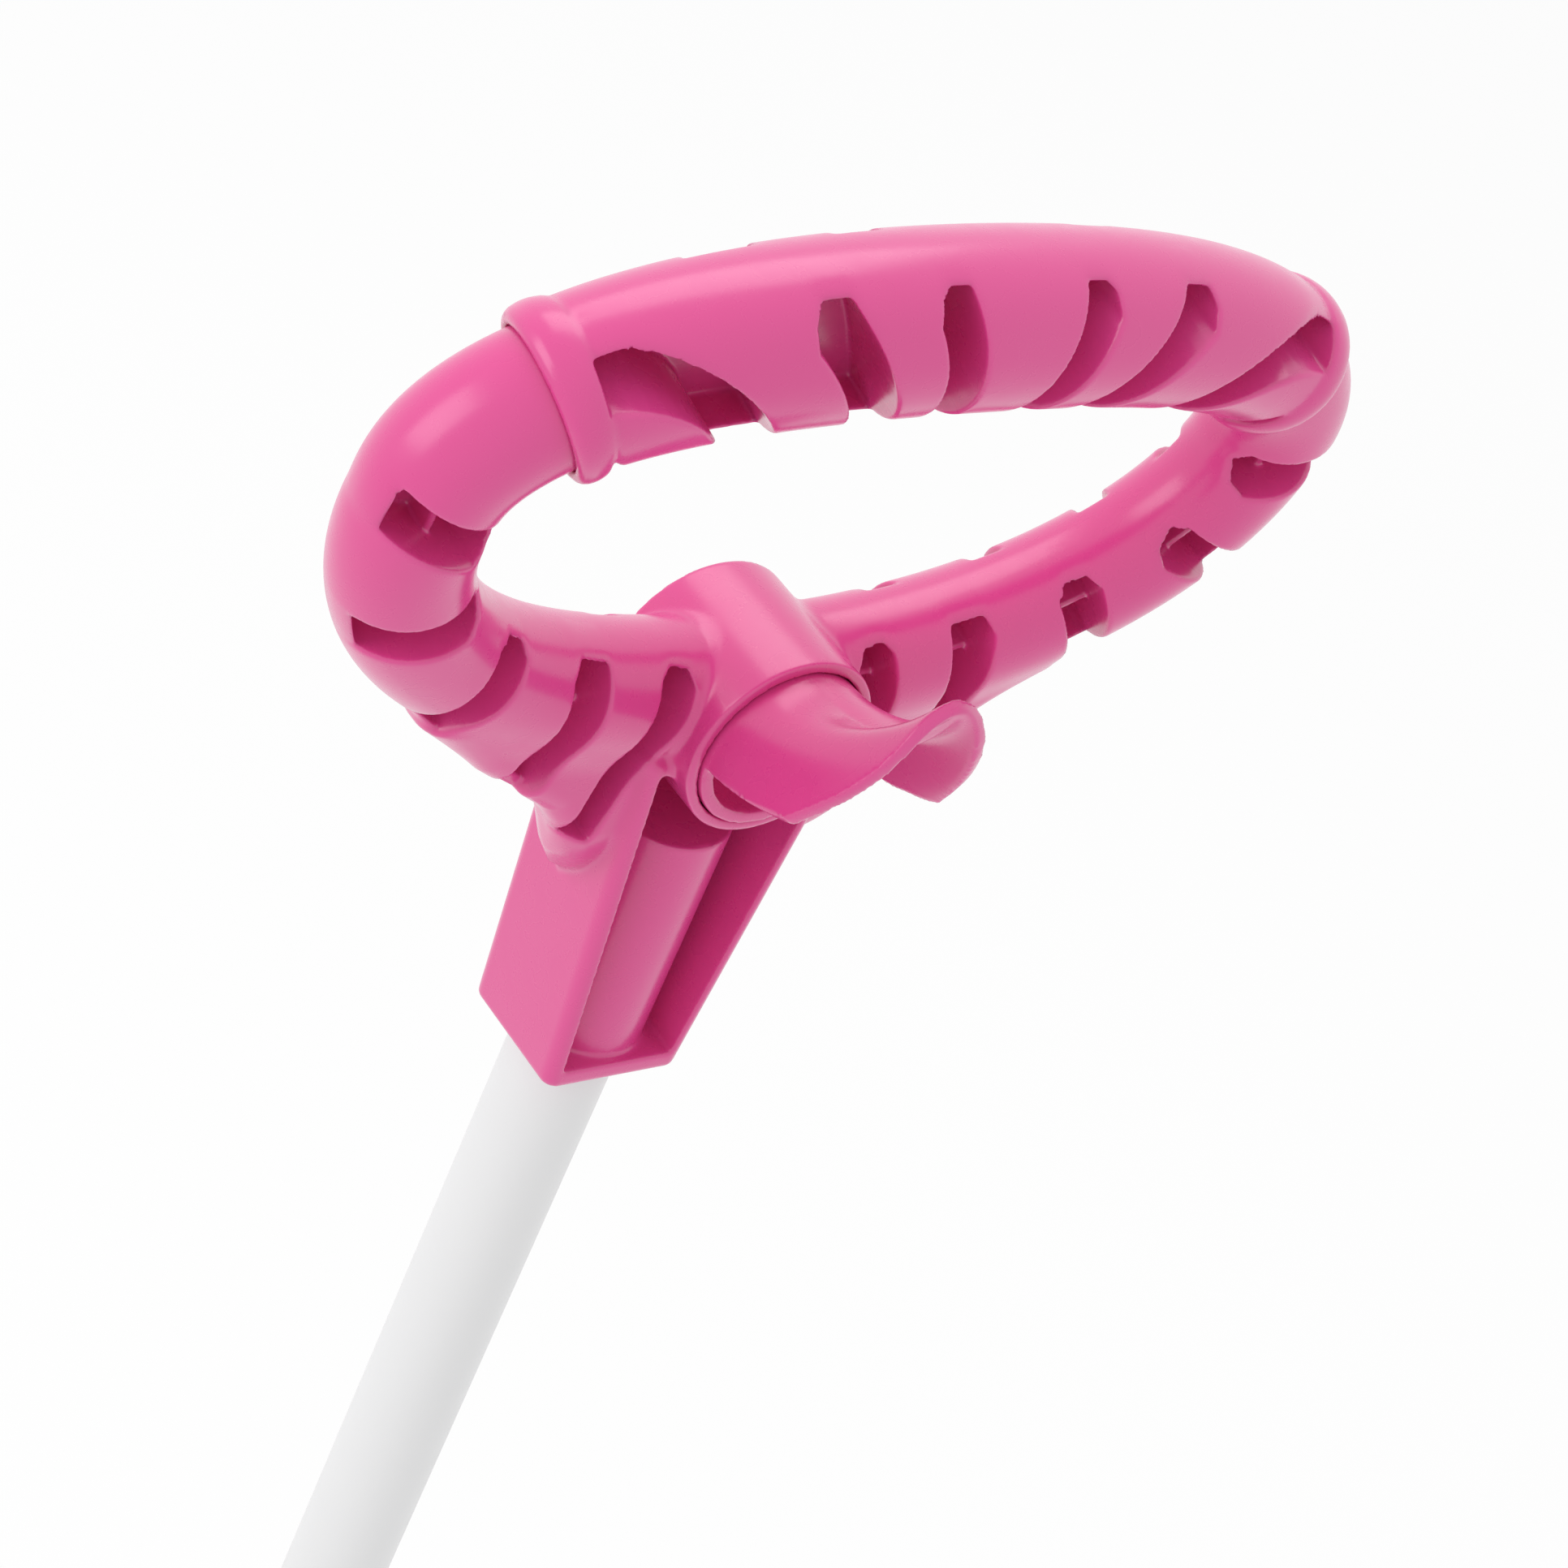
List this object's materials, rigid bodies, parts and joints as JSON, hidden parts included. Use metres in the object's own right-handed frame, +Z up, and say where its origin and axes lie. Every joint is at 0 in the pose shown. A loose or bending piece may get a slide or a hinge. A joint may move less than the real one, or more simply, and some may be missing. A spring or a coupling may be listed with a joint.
{
  "type": "dressing stick sock aid",
  "caption": "Long-handled sock aid: a straight white tube with a moulded pink D-shaped hand loop and a swivelling scoop hook in a barrel at the foot of the loop.",
  "frame": {"origin": "centre of the flat foot of the end cap, on the tube's axis", "axes": "+Z up the tube to the hand loop, -Y to the hook's side, X along the hand loop's cross grip"},
  "size_m": [0.1574, 0.0523, 0.6812],
  "materials": {
    "pink_plastic": "glossy injection-moulded pink plastic",
    "white_tube": "satin white coating on aluminium tube",
    "steel": "zinc-plated screws and washer",
    "grey_rubber": "matt grey rubber end cap"
  },
  "bodies": {
    "stick": {"handle_yoke": "pink_plastic", "grip_bar": "pink_plastic", "grip_screw_right": "steel", "grip_screw_left": "steel", "barrel_cap": "pink_plastic", "pole_tube": "white_tube", "pole_screw": "steel", "pole_end_cap": "grey_rubber"},
    "hook": {"hook": "pink_plastic", "hook_screw": "steel", "hook_washer": "steel"}
  },
  "joints": [
    {"name": "hook_swivel", "type": "hinge", "parent": "stick", "child": "hook", "pos_m": [0, 0, 0.6], "axis": [0, 1, 0], "range_deg": [-45, 45]}
  ]
}
